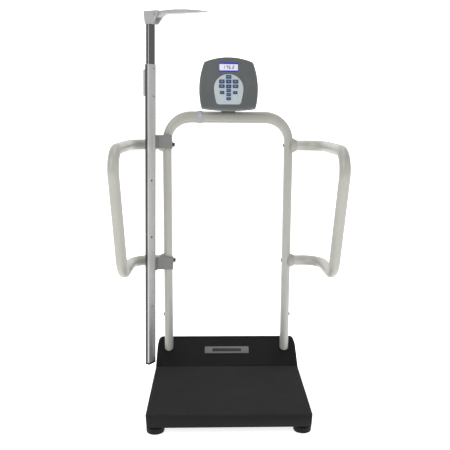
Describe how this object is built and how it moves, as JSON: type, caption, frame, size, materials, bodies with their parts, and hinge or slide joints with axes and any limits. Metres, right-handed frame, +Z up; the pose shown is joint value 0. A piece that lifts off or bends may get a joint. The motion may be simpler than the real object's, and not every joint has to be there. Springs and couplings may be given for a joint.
{
  "type": "platform scale with handrails and height rod",
  "caption": "Low black platform scale with a grey hoop frame, wide bent handrails, a tilted keypad display on a swivel and a telescoping height rod.",
  "frame": {"origin": "on the floor, under the middle of the base", "axes": "+Z up, -Y towards the front edge where the person steps on, +X to the right seen from the front"},
  "size_m": [0.78, 0.539, 1.3452],
  "materials": {
    "frame_paint": "matt dark grey powder coat",
    "black_steel": "fine matt black powder coat",
    "mat_rubber": "matt black with fine ribs",
    "cover_plastic": "fine matt black grain",
    "badge_metal": "brushed grey plate, no lettering",
    "cell_aluminium": "machined",
    "grey_plastic": "dark grey, fine grain",
    "steel": "zinc plated",
    "dark_steel": "blackened",
    "foot_rubber": "matt black",
    "tube_paint": "warm grey satin powder coat",
    "saddle_paint": "warm grey satin powder coat",
    "dark_plastic": "moulded",
    "strap_plastic": "pale woven strap",
    "cable_rubber": "dark grey jacket",
    "bracket_paint": "dark grey powder coat",
    "rod_aluminium": "satin anodised",
    "tape_print": "pale tape with dark graduations",
    "light_plastic": "light grey, smooth",
    "panel_film": "pale blue-grey film",
    "lcd": "pale display glass and bezel",
    "lcd_glass": "clear",
    "board": "green lacquer",
    "key_plastic": "navy"
  },
  "bodies": {
    "frame": {"base_frame": "frame_paint", "deck": "black_steel", "platform_mat": "mat_rubber", "rear_cover": "cover_plastic", "badge_plate": "badge_metal", "load_cells": "cell_aluminium", "junction_box": "grey_plastic", "base_screws": "steel", "leg_posts": "steel", "leg_bolts": "dark_steel", "foot_lock_nuts": "steel", "hoop_tube": "tube_paint", "handrail_left": "tube_paint", "handrail_right": "tube_paint", "handrail_saddles": "saddle_paint", "handrail_plugs": "dark_plastic", "handrail_bolts": "dark_steel", "cable_strap": "strap_plastic", "signal_cable": "cable_rubber", "bracket_upper": "bracket_paint", "bracket_lower": "bracket_paint", "bracket_screws": "steel", "outer_rod": "rod_aluminium", "rod_end_cap": "foot_rubber", "scale_tape": "tape_print", "guide_strip": "light_plastic", "rod_screws": "steel", "pedestal": "grey_plastic"},
    "measuring_rod": {"inner_rod": "rod_aluminium", "head_block": "light_plastic", "hinge_pin": "steel"},
    "arm": {"measuring_arm": "light_plastic"},
    "display_head": {"swivel_neck": "grey_plastic", "front_shell": "grey_plastic", "back_shell": "grey_plastic", "keypad_panel": "panel_film", "lcd_module": "lcd", "lcd_window": "lcd_glass", "circuit_board": "board", "access_plate": "grey_plastic"},
    "button_1": {"key_1": "key_plastic"},
    "button_2": {"key_2": "key_plastic"},
    "button_3": {"key_3": "key_plastic"},
    "button_4": {"key_4": "key_plastic"},
    "button_5": {"key_5": "key_plastic"},
    "button_6": {"key_6": "key_plastic"},
    "button_7": {"key_7": "key_plastic"},
    "button_8": {"key_8": "key_plastic"},
    "button_9": {"key_9": "key_plastic"},
    "button_10": {"key_10": "key_plastic"},
    "button_11": {"key_11": "key_plastic"},
    "button_12": {"key_12": "key_plastic"},
    "foot_fl": {"foot_pad_fl": "foot_rubber", "foot_stem_fl": "steel"},
    "foot_fr": {"foot_pad_fr": "foot_rubber", "foot_stem_fr": "steel"},
    "foot_rl": {"foot_pad_rl": "foot_rubber", "foot_stem_rl": "steel"},
    "foot_rr": {"foot_pad_rr": "foot_rubber", "foot_stem_rr": "steel"}
  },
  "joints": [
    {"name": "rod_height", "type": "slide", "parent": "frame", "child": "measuring_rod", "axis": [0.014, 0, 0.9999], "range_m": [-0.13, 0.78]},
    {"name": "arm_fold", "type": "hinge", "parent": "measuring_rod", "child": "arm", "pos_m": [-0.24438, 0.15261, 1.3315], "axis": [-0.5591, -0.829, 0.0078], "range_deg": [0, 90]},
    {"name": "display_swivel", "type": "hinge", "parent": "frame", "child": "display_head", "pos_m": [0, 0.2195, 1.03], "axis": [0, 0, 1], "range_deg": [-90, 90]},
    {"name": "press_1", "type": "slide", "parent": "display_head", "child": "button_1", "axis": [0, 0.9659, -0.2588], "range_m": [0, 0.0008], "stiffness_N_per_m": 1500, "springref_m": -0.0004},
    {"name": "press_2", "type": "slide", "parent": "display_head", "child": "button_2", "axis": [0, 0.9659, -0.2588], "range_m": [0, 0.0008], "stiffness_N_per_m": 1500, "springref_m": -0.0004},
    {"name": "press_3", "type": "slide", "parent": "display_head", "child": "button_3", "axis": [0, 0.9659, -0.2588], "range_m": [0, 0.0008], "stiffness_N_per_m": 1500, "springref_m": -0.0004},
    {"name": "press_4", "type": "slide", "parent": "display_head", "child": "button_4", "axis": [0, 0.9659, -0.2588], "range_m": [0, 0.0008], "stiffness_N_per_m": 1500, "springref_m": -0.0004},
    {"name": "press_5", "type": "slide", "parent": "display_head", "child": "button_5", "axis": [0, 0.9659, -0.2588], "range_m": [0, 0.0008], "stiffness_N_per_m": 1500, "springref_m": -0.0004},
    {"name": "press_6", "type": "slide", "parent": "display_head", "child": "button_6", "axis": [0, 0.9659, -0.2588], "range_m": [0, 0.0008], "stiffness_N_per_m": 1500, "springref_m": -0.0004},
    {"name": "press_7", "type": "slide", "parent": "display_head", "child": "button_7", "axis": [0, 0.9659, -0.2588], "range_m": [0, 0.0008], "stiffness_N_per_m": 1500, "springref_m": -0.0004},
    {"name": "press_8", "type": "slide", "parent": "display_head", "child": "button_8", "axis": [0, 0.9659, -0.2588], "range_m": [0, 0.0008], "stiffness_N_per_m": 1500, "springref_m": -0.0004},
    {"name": "press_9", "type": "slide", "parent": "display_head", "child": "button_9", "axis": [0, 0.9659, -0.2588], "range_m": [0, 0.0008], "stiffness_N_per_m": 1500, "springref_m": -0.0004},
    {"name": "press_10", "type": "slide", "parent": "display_head", "child": "button_10", "axis": [0, 0.9659, -0.2588], "range_m": [0, 0.0008], "stiffness_N_per_m": 1500, "springref_m": -0.0004},
    {"name": "press_11", "type": "slide", "parent": "display_head", "child": "button_11", "axis": [0, 0.9659, -0.2588], "range_m": [0, 0.0008], "stiffness_N_per_m": 1500, "springref_m": -0.0004},
    {"name": "press_12", "type": "slide", "parent": "display_head", "child": "button_12", "axis": [0, 0.9659, -0.2588], "range_m": [0, 0.0008], "stiffness_N_per_m": 1500, "springref_m": -0.0004},
    {"name": "level_fl", "type": "slide", "parent": "frame", "child": "foot_fl", "axis": [0, 0, -1], "range_m": [-0.003, 0.0075]},
    {"name": "level_fr", "type": "slide", "parent": "frame", "child": "foot_fr", "axis": [0, 0, -1], "range_m": [-0.003, 0.0075]},
    {"name": "level_rl", "type": "slide", "parent": "frame", "child": "foot_rl", "axis": [0, 0, -1], "range_m": [-0.003, 0.0075]},
    {"name": "level_rr", "type": "slide", "parent": "frame", "child": "foot_rr", "axis": [0, 0, -1], "range_m": [-0.003, 0.0075]}
  ]
}
